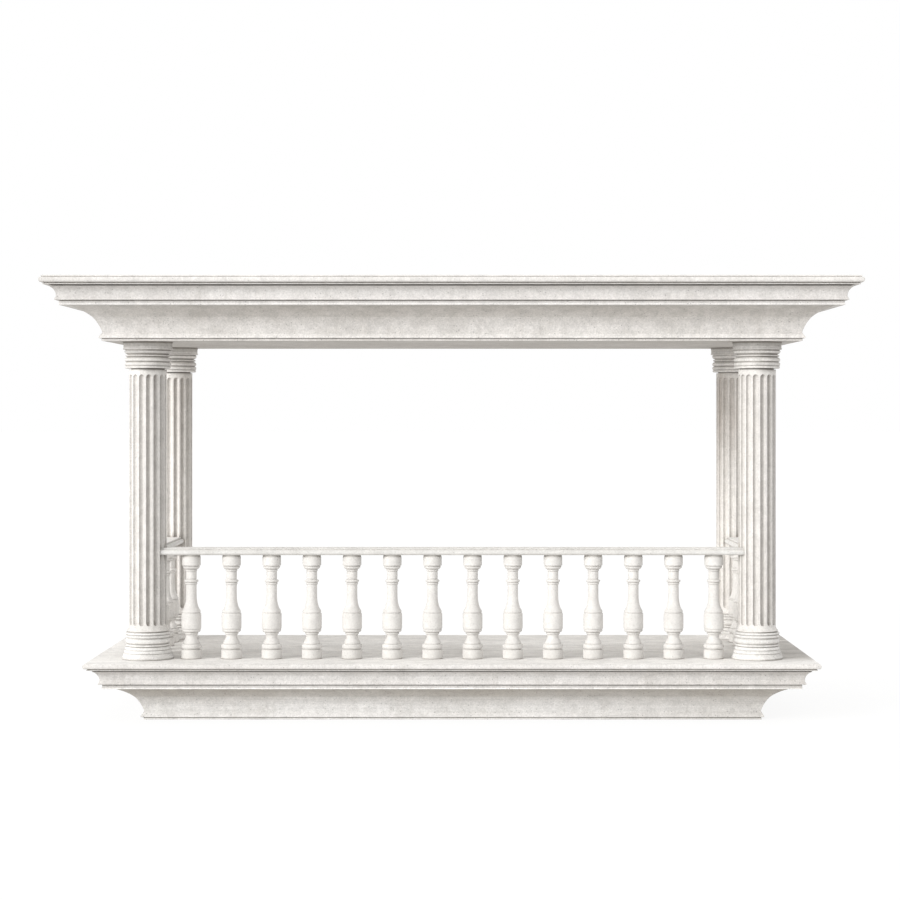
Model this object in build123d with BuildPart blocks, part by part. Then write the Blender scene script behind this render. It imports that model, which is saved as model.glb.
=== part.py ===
from build123d import *
import os

os.makedirs("parts", exist_ok=True)

# ---------------------------------------------------------------------------
# Stone balcony bay: moulded floor slab, four fluted columns, balustrade on
# three sides, moulded roof slab. The back is open and flat, for a wall.
# Millimetres. +Z up, front towards -Y, origin at the middle of the base.
# ---------------------------------------------------------------------------

# plan
COLUMN_HALF_X = 2741.0        # column centrelines left and right of the middle
COLUMN_SPACING_Y = 1853.0     # front to back column centrelines
BACK_OVERHANG = 297.0         # back columns' centreline to the flat back
FLOOR_OVERHANG = 505.0        # column centreline to the floor's nosing
ROOF_STEP_OUT = 324.0         # how much further the roof stands out
ROOF_OVERHANG = FLOOR_OVERHANG + ROOF_STEP_OUT

# heights
FLOOR_SLAB_H = 546.0
ROOF_SLAB_H = 555.0
FLOOR_EDGE_DATUM = 556.0      # level the floor's edge drops are measured from
ROOF_TOP_FILLET = 8.0         # the roof's top stands this far above its own datum
COLUMN_H = 2847.0             # floor surface to soffit
FASCIA_DROP = 244.0           # underside of the fascia course, below a slab's datum

FLOOR_TOP = FLOOR_SLAB_H
SOFFIT = FLOOR_TOP + COLUMN_H
ROOF_TOP = SOFFIT + ROOF_SLAB_H
ROOF_EDGE_DATUM = ROOF_TOP - ROOF_TOP_FILLET

# depth positions, centred on the roof's own depth
TOTAL_DEPTH = ROOF_OVERHANG + COLUMN_SPACING_Y + BACK_OVERHANG
FRONT_Y = -TOTAL_DEPTH / 2 + ROOF_OVERHANG          # front columns' centreline
BACK_Y = FRONT_Y + COLUMN_SPACING_Y                 # back columns' centreline
WALL_Y = TOTAL_DEPTH / 2                            # flat back plane

# column
SHAFT_R = 168.0
BASE_H = 250.0
CAPITAL_H = 239.0
SHAFT_H = COLUMN_H - BASE_H - CAPITAL_H
FLUTES = 16
FLUTE_R = 24.5
FLUTE_CENTRE_R = 169.5        # flute cutter's axis from the column's axis
FLUTE_LOW = 328.0             # lower and upper flute head centres above the floor
FLUTE_HIGH = 2528.0

# balustrade
BALUSTER_H = 934.0
FRONT_BALUSTERS = 14
SIDE_BALUSTERS = 4
BALUSTER_PITCH = 361.6
RAIL_BOTTOM = FLOOR_TOP + BALUSTER_H
RAIL_SOCKET = 104.0           # rail ends stand this far from a column's axis


# Each slab edge is a chain of (distance out from the column centreline, drop below the slab's datum).
NOSING_FOOT = [
    ("line", (505, 29), (505, 32)),
    ("arc", (505, 32), (502.2, 43.5), (494, 53)),
    ("line", (494, 53), (463, 53)),             # quirk over the fillet
    ("line", (463, 53), (463, 61)),
    ("line", (463, 61), (474, 61)),
    ("line", (474, 61), (474, 70)),
]
FLOOR_NOSING = [("arc", (493.5, 10), (501.6, 18), (505, 29))] + NOSING_FOOT
ROOF_NOSING = [                                 # the roof's has a small fillet standing on it
    ("arc", (480, -8), (484, -6), (485.5, -2)),
    ("line", (485.5, -2), (485.5, 4)),
    ("line", (485.5, 4), (482, 5)),
    ("line", (482, 5), (482, 9)),
    ("line", (482, 9), (498, 10)),
    ("arc", (498, 10), (503.4, 18), (505, 29)),
] + NOSING_FOOT


def slab_edge_fascia():
    """Edge of the middle course: quirk, small cavetto, bead, quirk, fascia."""
    return [
        ("line", (400, 70), (400, 82)),
        ("line", (400, 82), (434, 82)),
        ("arc", (434, 82), (397.5, 108), (376, 160)),
        ("arc", (376, 160), (379, 177), (387, 192)),
        ("arc", (387, 192), (388.6, 197), (387.5, 202)),
        ("line", (387.5, 202), (345, 202)),
        ("line", (345, 202), (345, 210)),
        ("line", (345, 210), (356, 210)),
        ("line", (356, 210), (354.5, 224)),
        ("line", (354.5, 224), (358, 244)),         # flared at the foot
    ]


def slab_edge_bed(height):
    """Edge of the bottom course: big cavetto, flare, bead, quirk, fillet."""
    k = (height - FASCIA_DROP) / 303
    steps = [
        ("arc", (294, 244), (190, 282), (105, 339)),
        ("arc", (105, 339), (56, 409), (31, 471)),
        ("arc", (31, 471), (32, 476.5), (35, 481)),
        ("line", (35, 481), (54, 509)),
        ("arc", (54, 509), (57, 513), (58, 518)),
        ("line", (58, 518), (58, 523.5)),
        ("line", (58, 523.5), (29, 523.5)),
        ("line", (29, 523.5), (29, 530.5)),
        ("line", (29, 530.5), (35, 530.5)),
        ("line", (35, 530.5), (35, 547)),
    ]
    return [(kind, *((d, FASCIA_DROP + k * (drop - FASCIA_DROP)) for d, drop in pts)) for kind, *pts in steps]


def draw_edge(steps, side, base, datum, shift):
    """Draw an edge with its offset measured from base, towards side (+1 or -1)."""
    for kind, *pts in steps:
        placed = [(base + side * (d + shift), datum - drop) for d, drop in pts]
        if kind == "arc":
            ThreePointArc(*placed)
        else:
            Line(*placed)
    first, last = steps[0][1], steps[-1][-1]
    return (
        (base + side * (first[0] + shift), datum - first[1]),
        (base + side * (last[0] + shift), datum - last[1]),
    )


def slab_course(steps, datum, shift):
    """One course of a slab, moulded on the front, left and right, flat at the back."""
    with BuildPart() as course:
        # cross-section across the width, run from front to back
        with BuildSketch(Plane.XZ):
            with BuildLine():
                l0, l1 = draw_edge(steps, -1, -COLUMN_HALF_X, datum, shift)
                r0, r1 = draw_edge(steps, 1, COLUMN_HALF_X, datum, shift)
                Line(l0, r0)
                Line(l1, r1)
            make_face()
        extrude(amount=TOTAL_DEPTH, both=True)
        # cross-section across the depth, run from left to right
        with BuildSketch(Plane.YZ):
            with BuildLine():
                f0, f1 = draw_edge(steps, -1, FRONT_Y, datum, shift)
                Polyline(f0, (WALL_Y, f0[1]), (WALL_Y, f1[1]), f1)
            make_face()
        extrude(amount=2 * COLUMN_HALF_X, both=True, mode=Mode.INTERSECT)
    return course.part


# --- slabs ------------------------------------------------------------------
for name, steps, datum, shift in (
    ("floor_nosing_slab", FLOOR_NOSING, FLOOR_EDGE_DATUM, 0.0),
    ("floor_fascia_course", slab_edge_fascia(), FLOOR_EDGE_DATUM, 0.0),
    ("floor_cavetto_course", slab_edge_bed(FLOOR_EDGE_DATUM), FLOOR_EDGE_DATUM, 0.0),
    ("roof_nosing_slab", ROOF_NOSING, ROOF_EDGE_DATUM, ROOF_STEP_OUT),
    ("roof_fascia_course", slab_edge_fascia(), ROOF_EDGE_DATUM, ROOF_STEP_OUT),
    ("roof_cavetto_course", slab_edge_bed(ROOF_EDGE_DATUM - SOFFIT), ROOF_EDGE_DATUM, ROOF_STEP_OUT),
):
    course = slab_course(steps, datum, shift)
    course.label = name
    export_step(course, f"parts/{name}.step")

# --- handrails --------------------------------------------------------------
RAIL_EDGE = [                 # right half, from the middle of the top to the underside
    ("line", (0, 65), (72, 65)),                    # flat top
    ("arc", (72, 65), (75.2, 63.3), (76, 60)),      # thin top edge
    ("line", (76, 60), (76, 55)),
    ("line", (76, 55), (72.5, 53.5)),               # quirk
    ("line", (72.5, 53.5), (72.5, 49.5)),
    ("line", (72.5, 49.5), (79, 48)),
    ("arc", (79, 48), (94, 42), (102, 29)),         # swelling side
    ("arc", (102, 29), (99, 12), (85, 0)),          # turned in to the underside
]


def rail_section():
    for side in (1, -1):
        for kind, *pts in RAIL_EDGE:
            placed = [(side * x, z) for x, z in pts]
            if kind == "arc":
                ThreePointArc(*placed)
            else:
                Line(*placed)
    Line((-85, 0), (85, 0))


FRONT_RAIL_L = 2 * (COLUMN_HALF_X - RAIL_SOCKET)
SIDE_RAIL_L = COLUMN_SPACING_Y - 2 * RAIL_SOCKET

with BuildPart() as front_handrail:
    with BuildSketch(Plane(origin=(0, FRONT_Y, RAIL_BOTTOM), x_dir=(0, 1, 0), z_dir=(1, 0, 0))):
        with BuildLine():
            rail_section()
        make_face()
    extrude(amount=FRONT_RAIL_L / 2, both=True)
front_handrail.part.label = "front_handrail"
export_step(front_handrail.part, "parts/front_handrail.step")

with BuildPart() as left_handrail:
    with BuildSketch(Plane(origin=(-COLUMN_HALF_X, (FRONT_Y + BACK_Y) / 2, RAIL_BOTTOM), x_dir=(-1, 0, 0), z_dir=(0, 1, 0))):
        with BuildLine():
            rail_section()
        make_face()
    extrude(amount=SIDE_RAIL_L / 2, both=True)
left_handrail.part.label = "left_handrail"
export_step(left_handrail.part, "parts/left_handrail.step")

with BuildPart() as right_handrail:
    with BuildSketch(Plane(origin=(COLUMN_HALF_X, (FRONT_Y + BACK_Y) / 2, RAIL_BOTTOM), x_dir=(-1, 0, 0), z_dir=(0, 1, 0))):
        with BuildLine():
            rail_section()
        make_face()
    extrude(amount=SIDE_RAIL_L / 2, both=True)
right_handrail.part.label = "right_handrail"
export_step(right_handrail.part, "parts/right_handrail.step")

# --- balusters --------------------------------------------------------------
with BuildPart() as baluster:
    with BuildSketch(Plane.XZ):
        with BuildLine():
            # plinth drum
            Line((0, 0), (83, 0))
            ThreePointArc((83, 0), (88.4, 2.6), (90.5, 9))
            Polyline((90.5, 9), (90.5, 78.5), (88, 81.5), (76, 83), (76, 91), (86, 92.5))
            # foot ring
            ThreePointArc((86, 92.5), (90.6, 111), (86.5, 130))
            Polyline((86.5, 130), (72, 131.5), (72, 135), (74.5, 136), (74.5, 141))
            # flared waist
            Spline((74.5, 141), (67.3, 158), (55.8, 178), (49.8, 198), (57, 221),
                   tangents=[(-0.5, 1), (0.6, 1)])
            Polyline((57, 221), (61.5, 222), (62.5, 223.5), (62.5, 233.5), (60, 235), (60, 239.5), (75, 240.5))
            # cup under the belly
            ThreePointArc((75, 240.5), (81.8, 248), (84.3, 259.5))
            Polyline((84.3, 259.5), (82, 260.5), (82, 266), (86, 267.5))
            # belly
            ThreePointArc((86, 267.5), (88.4, 275.5), (89, 285))
            Polyline((89, 285), (89, 388))
            ThreePointArc((89, 388), (88.7, 398), (87, 407.5))
            Polyline((87, 407.5), (80, 409), (80, 414.5), (83.3, 416), (83.3, 427))
            # shoulder and long neck
            Spline((83.3, 427), (76.4, 440), (66.3, 458), (57.6, 484), (51.4, 512), (48.2, 548), (47.3, 590), (47.3, 664),
                   tangents=[(-0.35, 1), (0, 1)])
            # double ring
            Polyline((47.3, 664), (50.3, 666), (50.3, 669.5))
            ThreePointArc((50.3, 669.5), (54.8, 676), (51.5, 682.5))
            Polyline((51.5, 682.5), (49.8, 683.5), (49.8, 686), (54, 687.5))
            ThreePointArc((54, 687.5), (63.3, 698), (53, 709.5))
            # upper neck and fillet
            Polyline((53, 709.5), (44.5, 711), (44.5, 716), (47.5, 718), (47.5, 782), (45.5, 783.5), (45.5, 787),
                     (53, 789), (53, 799), (50.5, 800), (50.5, 804), (57, 805))
            # ovolo and top drum
            ThreePointArc((57, 805), (70, 813.5), (76, 829.5))
            Polyline((76, 829.5), (70.5, 831), (70.5, 836), (81.5, 837), (83.8, 839.5), (83.8, 914),
                     (82.3, 916), (80, 917), (80, 934), (0, 934), (0, 0))
        make_face()
    revolve(axis=Axis.Z)


def place_baluster(name, x, y):
    with BuildPart() as placed:
        with Locations((x, y, FLOOR_TOP)):
            add(baluster.part)
    placed.part.label = name
    export_step(placed.part, f"parts/{name}.step")


for i in range(FRONT_BALUSTERS):
    place_baluster(f"front_baluster_{i + 1:02d}", (i - (FRONT_BALUSTERS - 1) / 2) * BALUSTER_PITCH, FRONT_Y)
for i in range(SIDE_BALUSTERS):
    y = (FRONT_Y + BACK_Y) / 2 + (i - (SIDE_BALUSTERS - 1) / 2) * BALUSTER_PITCH
    place_baluster(f"left_baluster_{i + 1:02d}", -COLUMN_HALF_X, y)
    place_baluster(f"right_baluster_{i + 1:02d}", COLUMN_HALF_X, y)

# --- columns ----------------------------------------------------------------
with BuildPart() as base:
    with BuildSketch(Plane.XZ):
        with BuildLine():
            # flared foot in shallow steps
            Line((0, 0), (224, 0))
            ThreePointArc((224, 0), (228.3, 2.4), (230, 7))
            Line((230, 7), (230, 15))
            ThreePointArc((230, 15), (222.5, 28), (218, 51))
            Polyline((218, 51), (211, 52), (211, 56.5), (214.5, 57.5), (213, 65), (209.5, 67), (208, 82), (200, 83),
                     (200, 87.5), (204, 88.5))
            ThreePointArc((204, 88.5), (201.6, 101), (196, 112))
            # quirk, thin ring, quirk
            Polyline((196, 112), (184, 114), (184, 119))
            ThreePointArc((184, 119), (197.5, 127.5), (189, 136))
            Polyline((189, 136), (182, 137), (182, 141.5), (190, 143))
            # torus
            ThreePointArc((190, 143), (202, 164.5), (192, 186))
            Polyline((192, 186), (186, 188), (186, 193))
            # double ring
            ThreePointArc((186, 193), (200.5, 206), (193.5, 218.5))
            Polyline((193.5, 218.5), (188, 219.5), (188, 222))
            ThreePointArc((188, 222), (200.5, 231.5), (194, 241))
            # quirk under the shaft
            Polyline((194, 241), (178, 242), (178, 250), (0, 250), (0, 0))
        make_face()
    revolve(axis=Axis.Z)

with BuildPart() as capital:
    with BuildSketch(Plane.XZ):
        with BuildLine():
            # double ring over the necking
            Polyline((0, 0), (197, 0))
            ThreePointArc((197, 0), (204, 9), (201, 19))
            Polyline((201, 19), (196, 20.5), (196, 23.5), (201.5, 24.5))
            ThreePointArc((201.5, 24.5), (207, 38), (202, 52))
            Polyline((202, 52), (192, 54), (192, 61), (202, 63))
            # torus drawn in at its top
            Spline((202, 63), (207.5, 74), (204, 87), (193, 98),
                   tangents=[(0.5, 1), (-0.7, 1)])
            Polyline((193, 98), (183, 99), (183, 105), (193.5, 106.5))
            ThreePointArc((193.5, 106.5), (200, 113.5), (195.5, 120.5))
            Polyline((195.5, 120.5), (183, 122), (183, 130))
            # ovolo
            ThreePointArc((183, 130), (203.5, 139), (211, 155))
            Polyline((211, 155), (203, 157), (203, 168), (216, 169.5))
            # bead and plain crown, slightly hollowed
            ThreePointArc((216, 169.5), (222.5, 175), (219, 181))
            ThreePointArc((219, 181), (217.5, 207), (222, 233))
            Polyline((222, 233), (222, 239), (0, 239), (0, 0))
        make_face()
    revolve(axis=Axis.Z)

with BuildPart() as shaft:
    with BuildSketch(Plane.XZ):
        with BuildLine():
            # rounded foot and flare, and a quirk under the capital
            Polyline((0, BASE_H), (186, BASE_H))
            ThreePointArc((186, BASE_H), (189, BASE_H + 4), (187.5, BASE_H + 9))
            ThreePointArc((187.5, BASE_H + 9), (174, BASE_H + 22), (SHAFT_R, BASE_H + 46))
            Polyline((SHAFT_R, BASE_H + 46), (SHAFT_R, BASE_H + SHAFT_H - 10), (150, BASE_H + SHAFT_H - 10),
                     (150, BASE_H + SHAFT_H), (0, BASE_H + SHAFT_H), (0, BASE_H))
        make_face()
    revolve(axis=Axis.Z)
    # flutes with round heads, a fillet between flutes facing the front
    with Locations((0, 0, FLUTE_LOW)):
        with PolarLocations(FLUTE_CENTRE_R, FLUTES, start_angle=180 / FLUTES):
            Cylinder(FLUTE_R, FLUTE_HIGH - FLUTE_LOW, align=(Align.CENTER, Align.CENTER, Align.MIN), mode=Mode.SUBTRACT)
            Sphere(FLUTE_R, mode=Mode.SUBTRACT)
    with Locations((0, 0, FLUTE_HIGH)):
        with PolarLocations(FLUTE_CENTRE_R, FLUTES, start_angle=180 / FLUTES):
            Sphere(FLUTE_R, mode=Mode.SUBTRACT)

for name, x, y, rails in (
    ("front_left", -COLUMN_HALF_X, FRONT_Y, (front_handrail, left_handrail)),
    ("front_right", COLUMN_HALF_X, FRONT_Y, (front_handrail, right_handrail)),
    ("back_left", -COLUMN_HALF_X, BACK_Y, (left_handrail,)),
    ("back_right", COLUMN_HALF_X, BACK_Y, (right_handrail,)),
):
    with BuildPart() as column_base:
        with Locations((x, y, FLOOR_TOP)):
            add(base.part)
    column_base.part.label = f"{name}_column_base"
    export_step(column_base.part, f"parts/{name}_column_base.step")

    with BuildPart() as column_shaft:
        with Locations((x, y, FLOOR_TOP)):
            add(shaft.part)
        # sockets that the handrails are let into
        for rail in rails:
            add(rail.part, mode=Mode.SUBTRACT)
    column_shaft.part.label = f"{name}_column_shaft"
    export_step(column_shaft.part, f"parts/{name}_column_shaft.step")

    with BuildPart() as column_capital:
        with Locations((x, y, SOFFIT - CAPITAL_H)):
            add(capital.part)
    column_capital.part.label = f"{name}_column_capital"
    export_step(column_capital.part, f"parts/{name}_column_capital.step")
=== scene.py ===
import bpy
import math
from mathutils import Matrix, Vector


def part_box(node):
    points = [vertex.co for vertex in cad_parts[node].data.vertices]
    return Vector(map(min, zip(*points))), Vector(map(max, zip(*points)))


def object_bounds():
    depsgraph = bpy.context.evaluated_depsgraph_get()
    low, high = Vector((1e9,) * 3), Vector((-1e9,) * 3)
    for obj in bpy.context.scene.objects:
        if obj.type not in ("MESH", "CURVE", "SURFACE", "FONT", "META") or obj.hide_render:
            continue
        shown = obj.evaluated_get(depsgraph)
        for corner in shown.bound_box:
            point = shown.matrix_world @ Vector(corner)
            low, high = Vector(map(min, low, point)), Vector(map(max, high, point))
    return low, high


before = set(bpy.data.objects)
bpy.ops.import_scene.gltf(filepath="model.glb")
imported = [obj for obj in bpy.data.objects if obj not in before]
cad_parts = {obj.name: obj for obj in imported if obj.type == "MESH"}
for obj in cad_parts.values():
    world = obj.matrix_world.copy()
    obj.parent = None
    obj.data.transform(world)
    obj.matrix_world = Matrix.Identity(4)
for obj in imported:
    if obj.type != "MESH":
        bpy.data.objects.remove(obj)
cad_lo, cad_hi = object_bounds()
scene = bpy.context.scene

# ---------------------------------------------------------------------------
# node helpers
# ---------------------------------------------------------------------------


class Tree:
    def __init__(self, tree):
        self.t = tree
        self.n = tree.nodes
        self.l = tree.links
        self.x = 0

    def node(self, kind, **props):
        node = self.n.new(kind)
        node.location = (self.x, -60 * (len(self.n) % 12))
        self.x += 30
        for k, v in props.items():
            setattr(node, k, v)
        return node

    def put(self, socket, value):
        if isinstance(value, bpy.types.NodeSocket):
            self.l.new(value, socket)
        else:
            socket.default_value = value

    def math(self, op, a, b=0.0, c=0.0, clamp=False):
        m = self.node("ShaderNodeMath", operation=op, use_clamp=clamp)
        self.put(m.inputs[0], a)
        if len(m.inputs) > 1:
            self.put(m.inputs[1], b)
        if op in ("MULTIPLY_ADD", "SMOOTH_MIN", "SMOOTH_MAX"):
            self.put(m.inputs[2], c)
        return m.outputs[0]

    def mul(self, a, b):
        return self.math("MULTIPLY", a, b)

    def add(self, a, b):
        return self.math("ADD", a, b)

    def band(self, value, lo, hi, out_lo=0.0, out_hi=1.0, smooth=True):
        """Remap value from lo..hi to out_lo..out_hi, clamped."""
        m = self.node("ShaderNodeMapRange", clamp=True)
        m.interpolation_type = "SMOOTHSTEP" if smooth else "LINEAR"
        self.put(m.inputs["Value"], value)
        m.inputs["From Min"].default_value = lo
        m.inputs["From Max"].default_value = hi
        m.inputs["To Min"].default_value = out_lo
        m.inputs["To Max"].default_value = out_hi
        return m.outputs["Result"]

    def scaled(self, vec, sx, sy, sz, ox=0.0, oy=0.0, oz=0.0):
        m = self.node("ShaderNodeMapping", vector_type="POINT")
        self.put(m.inputs["Vector"], vec)
        m.inputs["Location"].default_value = (ox, oy, oz)
        m.inputs["Scale"].default_value = (sx, sy, sz)
        return m.outputs["Vector"]

    def noise(self, vec, scale, detail=3.0, rough=0.55, distortion=0.0):
        m = self.node("ShaderNodeTexNoise")
        self.put(m.inputs["Vector"], vec)
        m.inputs["Scale"].default_value = scale
        m.inputs["Detail"].default_value = detail
        m.inputs["Roughness"].default_value = rough
        m.inputs["Distortion"].default_value = distortion
        return m.outputs["Fac"]

    def mix(self, fac, a, b, blend="MIX"):
        m = self.node("ShaderNodeMix", data_type="RGBA", blend_type=blend)
        self.put(m.inputs[0], fac)
        self.put(m.inputs[6], a)
        self.put(m.inputs[7], b)
        return m.outputs[2]

    def tone(self, colour, factor):
        """Multiply a colour by a number."""
        m = self.node("ShaderNodeVectorMath", operation="SCALE")
        self.put(m.inputs[0], colour)
        self.put(m.inputs["Scale"], factor)
        return m.outputs[0]


# ---------------------------------------------------------------------------
# limestone
# ---------------------------------------------------------------------------


def limestone(name, light, dark, seed, streaks=0.0, floor_grain=0.0, grain=1.0,
              dirt_and_shade=0.5, wear_and_highlight=0.5, rough=0.8, bump=1.0, pits=0.5, underside_shade=0.1, hollow_dirt_and_shade=0.0, floor_zones=None, right_end_shade=0.0, lines=0.0, rain_wash_and_light=1.0,
              right_side_shade=None, painted_bands=(), roof_shade=None):
    mat = bpy.data.materials.new(name)
    mat.use_nodes = True
    k = Tree(mat.node_tree)
    bsdf = mat.node_tree.nodes["Principled BSDF"]

    coord = k.node("ShaderNodeTexCoord").outputs["Object"]
    p = k.scaled(coord, 1, 1, 1, seed * 3.17, seed * 1.91, seed * 2.43)
    geo = k.node("ShaderNodeNewGeometry")
    nsep = k.node("ShaderNodeSeparateXYZ")
    k.put(nsep.inputs[0], geo.outputs["True Normal"])
    nz = nsep.outputs["Z"]
    side = k.band(k.math("ABSOLUTE", nz), 0.35, 0.9, 1.0, 0.0)
    slope = k.band(k.math("ABSOLUTE", nz), 0.75, 0.98, 1.0, 0.0)
    top = k.band(nz, 0.75, 0.98)

    # bed of the stone: wide and medium clouds, warm to cool
    wide = k.noise(p, 0.85, 4.0, 0.55, 0.4)
    cloud = k.noise(p, 5.5, 6.0, 0.62, 0.25)
    clouds = k.add(k.mul(wide, 0.55), k.mul(cloud, 0.45))
    colour = k.mix(k.band(clouds, 0.34, 0.66), dark, light)

    # grain: sand-size specks, shell fragments and fine dark points
    sand = k.noise(p, 74.0, 2.5, 0.7)
    fine = k.noise(p, 240.0, 2.0, 0.6)
    mottle = k.noise(p, 24.0, 3.0, 0.6)
    speck = k.add(k.add(k.mul(sand, 0.65), k.mul(fine, 0.15)), k.mul(mottle, 0.20))
    level = k.band(speck, 0.34, 0.66, 1.0 - 0.19 * grain, 1.0 + 0.13 * grain, smooth=False)

    cells = k.node("ShaderNodeTexVoronoi", feature="F1", distance="EUCLIDEAN")
    k.put(cells.inputs["Vector"], p)
    cells.inputs["Scale"].default_value = 46.0
    cells.inputs["Randomness"].default_value = 1.0
    csep = k.node("ShaderNodeSeparateColor")
    k.put(csep.inputs[0], cells.outputs["Color"])
    chosen = k.band(csep.outputs[0], 0.76, 0.86)
    pit = k.mul(k.band(cells.outputs["Distance"], 0.12, 0.30, 1.0, 0.0), chosen)
    level = k.mul(level, k.math("SUBTRACT", 1.0, k.mul(pit, 0.50 * pits)))

    # blotches the size of a hand
    blot = k.noise(p, 9.0, 5.0, 0.68, 0.6)
    level = k.mul(level, k.band(blot, 0.36, 0.62, 1.0 - 0.085 * grain, 1.0 + 0.030 * grain))

    # rain streaks down the sides, in patches
    if streaks:
        fall = k.noise(k.scaled(p, 11.0, 11.0, 0.42), 1.0, 4.0, 0.65, 0.15)
        thin = k.noise(k.scaled(p, 38.0, 38.0, 0.9), 1.0, 2.0, 0.6)
        patch = k.band(k.noise(p, 1.4, 3.0, 0.5), 0.36, 0.62)
        run = k.band(k.add(k.mul(fall, 0.7), k.mul(thin, 0.3)), 0.46, 0.70)
        run = k.mul(k.mul(run, k.add(k.mul(patch, 0.75), 0.25)), side)
        level = k.mul(level, k.math("SUBTRACT", 1.0, k.mul(run, 0.20 * streaks)))
        colour = k.mix(k.mul(run, 0.35 * streaks), colour, (0.47, 0.425, 0.365, 1))

    # faint lines left along the courses by the running mould
    if lines:
        along = k.noise(k.scaled(p, 0.9, 0.9, 60.0), 1.0, 3.0, 0.6, 0.2)
        along = k.band(along, 0.36, 0.64, -1.0, 1.0, smooth=False)
        level = k.mul(level, k.math("MULTIPLY_ADD", k.mul(along, slope), 0.045 * lines, 1.0))

    # tops are made paler, patchily: partly rain-washing, partly painted light that brightens the up-facing faces
    colour = k.mix(k.mul(top, k.band(wide, 0.3, 0.7, 0.60 * rain_wash_and_light, 0.95 * rain_wash_and_light)), colour, (0.850, 0.830, 0.800, 1))

    # a floor in zones: soiled in patches and darker towards the back edge, paler outside the balustrade (partly
    # washing, partly painted light), with a painted shadow on the right-hand rim
    if floor_zones:
        rail_x, rail_y, wall_y = floor_zones
        psep = k.node("ShaderNodeSeparateXYZ")
        k.put(psep.inputs[0], coord)
        drift = k.mul(k.math("SUBTRACT", k.noise(p, 2.6, 4.0, 0.6), 0.5), 0.5)
        out_x = k.math("SUBTRACT", k.math("ABSOLUTE", psep.outputs["X"]), rail_x)
        out_y = k.math("SUBTRACT", rail_y, psep.outputs["Y"])
        out = k.add(k.math("MAXIMUM", out_x, out_y), k.mul(drift, 0.4))
        rim_wash_and_light = k.mul(k.band(out, 0.06, 0.42), top)
        # painted shadow: the right-hand rim behind the right balustrade is darkened as if shaded by the column and
        # balusters
        right_rim_shadow = k.mul(k.band(k.math("SUBTRACT", psep.outputs["X"], rail_x), -0.25, 0.20),
                         k.band(k.math("SUBTRACT", psep.outputs["Y"], rail_y), -0.30, 0.10))
        colour = k.mix(k.mul(k.mul(rim_wash_and_light, k.math("SUBTRACT", 1.0, right_rim_shadow)), 0.75), colour, (0.825, 0.808, 0.782, 1))
        combed = k.band(k.noise(k.scaled(p, 1.6, 8.0, 1.0), 1.0, 4.0, 0.62, 0.5), 0.36, 0.62, 0.62, 1.0)
        colour = k.mix(k.mul(k.mul(k.mul(right_rim_shadow, top), combed), 0.88), colour, (0.43, 0.408, 0.377, 1))
        # darker towards the back edge of the floor
        near_wall = k.band(k.add(k.math("SUBTRACT", psep.outputs["Y"], wall_y), drift), -0.75, -0.45)
        patchy = k.band(k.noise(k.scaled(p, 1.6, 4.2, 1.0), 1.0, 4.0, 0.62, 0.6), 0.40, 0.64)
        darker_inside = k.mul(k.mul(k.math("MAXIMUM", k.mul(near_wall, 0.9), k.mul(patchy, 0.8)), top),
                        k.band(out, -0.45, -0.15, 1.0, 0.0))
        colour = k.mix(k.mul(darker_inside, 0.22), colour, (0.44, 0.405, 0.36, 1))

    # sawn and worn grain lying along the top surfaces
    if floor_grain:
        lay = k.noise(k.scaled(p, 1.2, 6.5, 1.0), 1.0, 4.0, 0.62, 0.5)
        lay2 = k.noise(k.scaled(p, 3.5, 14.0, 1.0), 1.0, 3.0, 0.6, 0.3)
        worn = k.band(k.add(k.mul(lay, 0.6), k.mul(lay2, 0.4)), 0.34, 0.66, -1.0, 1.0, smooth=False)
        level = k.mul(level, k.math("MULTIPLY_ADD", k.mul(worn, top), 0.11 * floor_grain, 1.0))
        dusty = k.mul(k.mul(k.band(k.noise(p, 1.1, 4.0, 0.6), 0.35, 0.7), top), 0.12 * floor_grain)
        colour = k.mix(dusty, colour, (0.50, 0.465, 0.42, 1))

    # grime and painted shade in quirks and inner corners, driven by ambient occlusion; on the floor it also paints
    # contact shadows around the feet
    ao = k.node("ShaderNodeAmbientOcclusion", samples=6, inside=False, only_local=False)
    ao.inputs["Distance"].default_value = 0.07
    broken = k.noise(p, 14.0, 4.0, 0.65)
    shut = k.band(ao.outputs["AO"], 0.10, 0.70, 1.0, 0.0)
    grime_and_shade = k.mul(shut, k.band(broken, 0.2, 0.75, 0.55, 1.0))
    colour = k.mix(k.mul(grime_and_shade, 0.75 * dirt_and_shade), colour, (0.30, 0.265, 0.22, 1))

    # darker flutes and hollows, driven by ambient occlusion: partly a deposit, partly painted shade
    if hollow_dirt_and_shade:
        kept = k.mul(k.band(ao.outputs["AO"], 0.42, 0.90, 1.0, 0.0), k.band(broken, 0.25, 0.7, 0.75, 1.0))
        colour = k.mix(k.mul(kept, hollow_dirt_and_shade), colour, (0.255, 0.230, 0.198, 1))

    # painted shade: flutes on the right-hand (+X) side of each column, whose faces turn away from the key light, are
    # darkened strongly
    if right_side_shade:
        strength, centre_x, radius = right_side_shade
        lsep = k.node("ShaderNodeSeparateXYZ")
        k.put(lsep.inputs[0], coord)
        hand = k.math("SIGN", lsep.outputs["X"])
        round_x = k.math("SUBTRACT", lsep.outputs["X"], k.mul(hand, centre_x + 0.020))
        turned = k.math("SUBTRACT", nsep.outputs["X"], k.math("DIVIDE", round_x, radius))
        flute_shade = k.mul(k.band(ao.outputs["AO"], 0.60, 0.95, 1.0, 0.0), k.band(round_x, -0.08, 0.08))
        flute_shade = k.mul(flute_shade, k.band(turned, -0.80, 0.02))
        colour = k.mix(k.mul(k.mul(flute_shade, k.band(broken, 0.2, 0.75, 0.8, 1.0)), strength), colour,
                       (0.088, 0.068, 0.050, 1))
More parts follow.
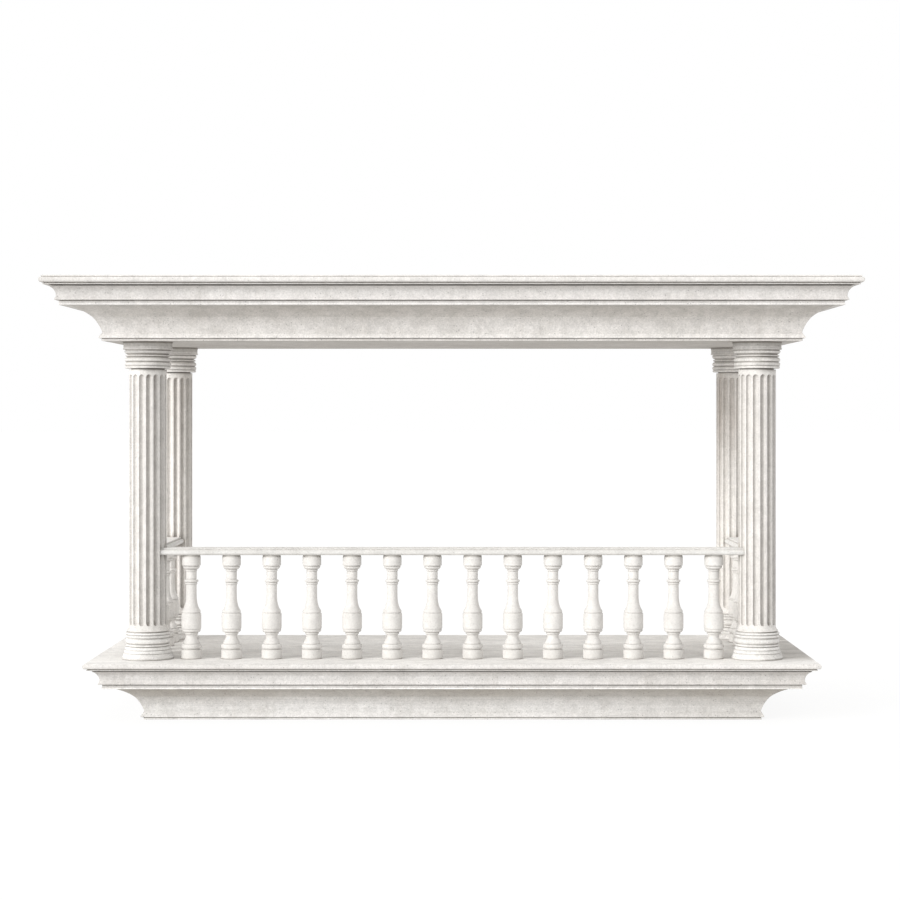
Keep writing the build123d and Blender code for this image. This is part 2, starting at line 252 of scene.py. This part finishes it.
        # painted shade: it also draws a thin dark line down the right-facing wall of every flute, stronger on the
        # right-hand columns
        flute_shade_line = k.mul(k.band(turned, 0.38, 0.68), k.band(ao.outputs["AO"], 0.70, 0.98, 1.0, 0.0))
        flute_shade_line = k.mul(flute_shade_line, k.band(lsep.outputs["X"], -0.5, 0.5, 0.10, 1.0))
        flute_shade_line = k.mul(flute_shade_line, k.band(round_x, -0.14, 0.05, 0.42, 1.0))
        colour = k.mix(k.mul(k.mul(flute_shade_line, k.band(broken, 0.2, 0.75, 0.7, 1.0)), 0.62 * strength), colour,
                       (0.130, 0.104, 0.080, 1))

    # painted shade: the upper part of a shaft under the soffit is darkened brown towards the top, more on the
    # right-hand columns
    if roof_shade:
        low, high, amount = roof_shade
        dsep = k.node("ShaderNodeSeparateXYZ")
        k.put(dsep.inputs[0], coord)
        reach = k.band(k.add(dsep.outputs["Z"], k.mul(k.math("SUBTRACT", wide, 0.5), 1.2)), low, high)
        shade_below_soffit = k.mul(reach, k.band(k.noise(k.scaled(p, 9.0, 9.0, 0.8), 1.0, 3.0, 0.6, 0.2), 0.38, 0.60, 0.45, 1.0))
        shade_below_soffit = k.mul(shade_below_soffit, k.band(dsep.outputs["X"], -0.5, 0.5, 0.35, 1.0))
        colour = k.mix(k.mul(shade_below_soffit, amount), colour, (0.36, 0.305, 0.255, 1))

    # painted bands at given heights: paler bands are painted highlights on arrises and lit faces, darker bands are
    # painted shade in quirks and under overhangs, partly joint dirt
    if painted_bands:
        zsep = k.node("ShaderNodeSeparateXYZ")
        k.put(zsep.inputs[0], coord)
        height_z = k.add(zsep.outputs["Z"], k.mul(k.math("SUBTRACT", broken, 0.5), 0.006))
        for low, high, amount, tint in painted_bands:
            near = k.mul(k.band(height_z, low - 0.003, low + 0.003), k.band(height_z, high - 0.003, high + 0.003, 1.0, 0.0))
            colour = k.mix(k.mul(near, amount), colour, tint)

    # painted shade that grows towards the right-hand end of a course
    if right_end_shade:
        ssep = k.node("ShaderNodeSeparateXYZ")
        k.put(ssep.inputs[0], coord)
        end = k.band(k.add(ssep.outputs["X"], k.mul(k.math("SUBTRACT", wide, 0.5), 2.5)), 0.2, 3.2)
        colour = k.mix(k.mul(end, right_end_shade), colour, (0.30, 0.278, 0.245, 1))

    # undersides: painted darker, standing in for the shade under overhangs, partly unwashed stone
    below = k.band(k.mul(nz, -1.0), 0.30, 0.95)
    colour = k.mix(k.mul(k.mul(below, k.band(clouds, 0.3, 0.7, 1.0, 0.75)), underside_shade), colour, (0.355, 0.325, 0.285, 1))

    # worn arrises: a little smoother, and lighter as wear and as a painted highlight along the edges
    bevel = k.node("ShaderNodeBevel", samples=4)
    bevel.inputs["Radius"].default_value = 0.007
    dot = k.node("ShaderNodeVectorMath", operation="DOT_PRODUCT")
    k.put(dot.inputs[0], bevel.outputs["Normal"])
    k.put(dot.inputs[1], geo.outputs["Normal"])
    arris_wear_and_highlight = k.band(dot.outputs["Value"], 0.80, 0.985, 1.0, 0.0)
    arris_wear_and_highlight = k.mul(k.mul(arris_wear_and_highlight, k.band(ao.outputs["AO"], 0.45, 0.8)), k.band(broken, 0.36, 0.6, 0.25, 1.0))
    colour = k.mix(k.mul(arris_wear_and_highlight, 0.6 * wear_and_highlight), colour, (0.78, 0.76, 0.725, 1))

    colour = k.tone(colour, level)
    k.put(bsdf.inputs["Base Color"], colour)

    r = k.band(k.add(k.mul(cloud, 0.6), k.mul(sand, 0.4)), 0.3, 0.7, rough - 0.09, rough + 0.09, smooth=False)
    r = k.math("SUBTRACT", r, k.mul(arris_wear_and_highlight, 0.10))
    k.put(bsdf.inputs["Roughness"], k.math("ADD", r, k.mul(grime_and_shade, 0.08), clamp=True))
    bsdf.inputs["Specular IOR Level"].default_value = 0.38

    # tooling, grain and pits in relief
    height = k.add(k.mul(sand, 0.5), k.add(k.mul(fine, 0.22), k.mul(mottle, 0.6)))
    height = k.math("SUBTRACT", height, k.mul(pit, 0.55 * pits))
    if floor_grain:
        height = k.add(height, k.mul(k.mul(worn, top), 0.35 * floor_grain))
    b = k.node("ShaderNodeBump")
    b.inputs["Strength"].default_value = 0.42 * bump
    b.inputs["Distance"].default_value = 0.0035
    k.put(b.inputs["Height"], height)
    k.put(b.inputs["Normal"], bevel.outputs["Normal"])
    k.put(bsdf.inputs["Normal"], b.outputs["Normal"])
    return mat


rail_lo, rail_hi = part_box("front_handrail")
slab_lo, slab_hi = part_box("floor_nosing_slab")
left_lo, left_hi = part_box("left_handrail")
COLUMN_X = (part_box("front_right_column_shaft")[0].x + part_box("front_right_column_shaft")[1].x) / 2
BED_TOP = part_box("floor_cavetto_course")[1].z
BED_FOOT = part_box("floor_cavetto_course")[0].z
FASCIA_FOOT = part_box("floor_fascia_course")[0].z
RAIL_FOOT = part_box("front_handrail")[0].z
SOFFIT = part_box("roof_cavetto_course")[0].z
ROOF_FASCIA_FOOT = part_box("roof_fascia_course")[0].z
# tones for the painted bands: painted shade and painted highlight
PAINTED_SHADE = (0.20, 0.180, 0.152, 1)
PAINTED_HIGHLIGHT = (0.80, 0.785, 0.760, 1)
COLUMN_R = (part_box("front_right_column_shaft")[1].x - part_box("front_right_column_shaft")[0].x) / 2
ZONES = (abs((left_lo.x + left_hi.x) / 2), (rail_lo.y + rail_hi.y) / 2, slab_hi.y)

# the cavetto courses get a paler stone than the nosings above them: painted light for their shaded faces
MATERIALS = {
    "floor_nosing": limestone("floor_limestone", (0.610, 0.592, 0.571, 1), (0.549, 0.529, 0.503, 1), 1.0,
                              streaks=0.4, floor_grain=1.0, grain=0.9, dirt_and_shade=1.15, wear_and_highlight=0.8, rough=0.80,
                              pits=0.6, underside_shade=0.45, floor_zones=ZONES, hollow_dirt_and_shade=0.30),
    "floor_fascia": limestone("floor_fascia_limestone", (0.600, 0.582, 0.564, 1), (0.536, 0.517, 0.494, 1), 1.3,
                              streaks=0.5, grain=1.0, dirt_and_shade=0.75, wear_and_highlight=1.3, rough=0.80,
                              pits=0.9, underside_shade=0.45, right_end_shade=0.20, lines=1.0,
                              painted_bands=((FASCIA_FOOT - 0.01, FASCIA_FOOT + 0.009, 0.80, PAINTED_HIGHLIGHT),
                                      (FASCIA_FOOT + 0.030, FASCIA_FOOT + 0.047, 0.26, PAINTED_SHADE))),
    "floor_cavetto": limestone("floor_bed_limestone", (0.660, 0.645, 0.627, 1), (0.594, 0.578, 0.556, 1), 1.6,
                               streaks=0.5, grain=1.0, dirt_and_shade=0.7, wear_and_highlight=1.1, rough=0.80,
                               pits=0.9, underside_shade=1.0, right_end_shade=0.28, lines=1.0,
                               painted_bands=((BED_FOOT + 0.027, BED_FOOT + 0.060, 0.14, PAINTED_HIGHLIGHT),
                                       (BED_FOOT - 0.01, BED_FOOT + 0.015, 0.35, PAINTED_HIGHLIGHT),
                                       (BED_FOOT + 0.018, BED_FOOT + 0.027, 0.25, PAINTED_SHADE),
                                       (BED_TOP - 0.019, BED_TOP + 0.01, 0.45, PAINTED_SHADE),
                                       (BED_TOP - 0.048, BED_TOP + 0.01, 0.12, PAINTED_SHADE))),
    "roof_nosing": limestone("roof_limestone", (0.612, 0.594, 0.573, 1), (0.556, 0.537, 0.512, 1), 2.0,
                             streaks=0.35, floor_grain=0.6, grain=0.9, dirt_and_shade=0.65, wear_and_highlight=0.8, rough=0.80,
                             pits=0.6, underside_shade=0.45, rain_wash_and_light=0.6),
    "roof_fascia": limestone("roof_fascia_limestone", (0.596, 0.578, 0.560, 1), (0.534, 0.515, 0.494, 1), 2.3,
                             streaks=0.45, grain=1.0, dirt_and_shade=0.80, wear_and_highlight=1.35, rough=0.80,
                             pits=0.9, underside_shade=0.40, rain_wash_and_light=0.6,
                             painted_bands=((ROOF_FASCIA_FOOT - 0.01, ROOF_FASCIA_FOOT + 0.014, 0.40, PAINTED_HIGHLIGHT),)),
    "roof_cavetto": limestone("roof_bed_limestone", (0.655, 0.632, 0.608, 1), (0.556, 0.533, 0.507, 1), 2.6,
                              streaks=0.55, grain=1.1, dirt_and_shade=0.7, wear_and_highlight=1.35, rough=0.80,
                              pits=0.9, underside_shade=0.60,
                              painted_bands=((SOFFIT + 0.026, SOFFIT + 0.060, 0.36, PAINTED_HIGHLIGHT),)),
    "rail": limestone("rail_limestone", (0.604, 0.594, 0.574, 1), (0.549, 0.536, 0.512, 1), 4.0,
                      streaks=0.3, floor_grain=0.7, grain=0.8, dirt_and_shade=0.35, wear_and_highlight=0.6, rough=0.74,
                      pits=0.5, underside_shade=0.2),
    "baluster": limestone("baluster_limestone", (0.606, 0.590, 0.568, 1), (0.570, 0.552, 0.528, 1), 5.0,
                          streaks=0.15, grain=0.6, dirt_and_shade=0.60, wear_and_highlight=0.6, rough=0.74, pits=0.35,
                          underside_shade=0.15, hollow_dirt_and_shade=0.04,
                          painted_bands=((RAIL_FOOT - 0.018, RAIL_FOOT + 0.01, 0.42, PAINTED_SHADE),)),
}

# the back columns and side balusters are given a paler stone and less darkening: painted light standing in for light
# they lack in their shaded place
for place, painted_light_gain, kept in (("front", 1.0, 1.0), ("back", 1.235, 0.50)):
    def shade(*rgb):
        return tuple(c * painted_light_gain for c in rgb) + (1,)
    MATERIALS[place + "_shaft"] = limestone(
        place + "_column_limestone", shade(0.645, 0.625, 0.601), shade(0.594, 0.573, 0.546), 3.0,
        streaks=0.25, grain=0.9, dirt_and_shade=0.50 * kept, wear_and_highlight=0.6, rough=0.78, pits=0.5, underside_shade=0.2, hollow_dirt_and_shade=0.32 * kept,
        right_side_shade=(0.95 if place == "front" else 0.72, COLUMN_X, COLUMN_R),
        roof_shade=(SOFFIT - 1.5, SOFFIT - 0.45, 0.50) if place == "back" else None)
    MATERIALS[place + "_base"] = limestone(
        place + "_column_base_limestone", shade(0.650, 0.636, 0.616), shade(0.596, 0.580, 0.557), 3.3,
        streaks=0.2, grain=1.0, dirt_and_shade=0.75 * kept, wear_and_highlight=0.7, rough=0.78, pits=0.7, underside_shade=0.15, hollow_dirt_and_shade=0.08 * kept,
        lines=1.3, right_side_shade=(0.34, COLUMN_X, COLUMN_R))
    MATERIALS[place + "_capital"] = limestone(
        place + "_column_capital_limestone", shade(0.612, 0.593, 0.570), shade(0.550, 0.530, 0.505), 3.6,
        streaks=0.3, grain=1.1, dirt_and_shade=0.75 * kept, wear_and_highlight=0.6, rough=0.78, pits=0.6, underside_shade=0.25, hollow_dirt_and_shade=0.34 * kept,
        lines=2.0, right_side_shade=(0.45, COLUMN_X, COLUMN_R), painted_bands=((SOFFIT - 0.014, SOFFIT + 0.01, 0.75, PAINTED_SHADE), (SOFFIT - 0.045, SOFFIT + 0.01, 0.28, PAINTED_SHADE)))
MATERIALS["side_rail"] = limestone(
    "side_rail_limestone", (0.700, 0.686, 0.662, 1), (0.645, 0.630, 0.605, 1), 4.5,
    streaks=0.3, floor_grain=0.7, grain=0.8, dirt_and_shade=1.0, wear_and_highlight=0.6, rough=0.74, pits=0.5, underside_shade=0.65, hollow_dirt_and_shade=0.22)
MATERIALS["side_baluster"] = limestone(
    "side_baluster_limestone", (0.735, 0.715, 0.690, 1), (0.685, 0.664, 0.637, 1), 5.5,
    streaks=0.15, grain=0.6, dirt_and_shade=0.60, wear_and_highlight=0.6, rough=0.74, pits=0.35, underside_shade=0.1,
    painted_bands=((RAIL_FOOT - 0.018, RAIL_FOOT + 0.01, 0.42, PAINTED_SHADE),))


def material_for(name):
    if name.startswith(("floor_", "roof_")):
        return MATERIALS["_".join(name.split("_")[:2])]
    if "_column_" in name:
        return MATERIALS[name.split("_")[0] + "_" + name.split("_")[-1]]
    if name.endswith("_handrail"):
        return MATERIALS["rail" if name.startswith("front_") else "side_rail"]
    return MATERIALS["baluster" if name.startswith("front_") else "side_baluster"]


for name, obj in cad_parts.items():
    obj.data.materials.clear()
    obj.data.materials.append(material_for(name))

# ---------------------------------------------------------------------------
# camera: level, square to the front, a little right of the middle
# ---------------------------------------------------------------------------
base_lo, base_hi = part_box("front_left_column_base")
front_y = (base_lo.y + base_hi.y) / 2
cam_data = bpy.data.cameras.new("camera")
cam = bpy.data.objects.new("camera", cam_data)
scene.collection.objects.link(cam)
scene.camera = cam
cam.location = (0.1935, front_y - 20.385, cad_lo[2] + 2.7495)
cam.rotation_euler = (math.radians(90), 0, 0)
cam_data.sensor_width = 36
cam_data.lens = 2265 / 900 * 36
cam_data.shift_x = -24 / 900
cam_data.shift_y = -36.5 / 900
cam_data.clip_end = 900

# ---------------------------------------------------------------------------
# floor and light: pale ground, even white surround, soft key from the left front
# ---------------------------------------------------------------------------
bpy.ops.mesh.primitive_plane_add(size=600, location=(0, 0, cad_lo[2]))
ground = bpy.context.object
ground.name = "ground"
ground_mat = bpy.data.materials.new("ground")
ground_mat.use_nodes = True
gb = ground_mat.node_tree.nodes["Principled BSDF"]
gb.inputs["Base Color"].default_value = (0.13, 0.129, 0.128, 1)
gb.inputs["Roughness"].default_value = 0.95
gb.inputs["Specular IOR Level"].default_value = 0.0
gb.inputs["Emission Color"].default_value = (1, 1, 1, 1)
gb.inputs["Emission Strength"].default_value = 0.87
ground.data.materials.append(ground_mat)

world = bpy.data.worlds.new("world")
scene.world = world
world.use_nodes = True
bg = world.node_tree.nodes["Background"]
bg.inputs[0].default_value = (1, 1, 1, 1)
bg.inputs[1].default_value = 1.0

for light, energy, angle, azimuth, elevation in (("key", 3.02, 35, 50, 17), ("fill", 0.46, 50, -60, 12)):
    data = bpy.data.lights.new(light, "SUN")
    data.energy = energy
    data.angle = math.radians(angle)
    data.color = (1.0, 0.997, 0.990)
    lamp = bpy.data.objects.new(light, data)
    scene.collection.objects.link(lamp)
    azimuth, elevation = math.radians(azimuth), math.radians(elevation)
    down = Vector((math.sin(azimuth) * math.cos(elevation), math.cos(azimuth) * math.cos(elevation), -math.sin(elevation)))
    lamp.rotation_euler = down.to_track_quat("-Z", "Y").to_euler()

scene.view_settings.view_transform = "Standard"
scene.view_settings.look = "None"
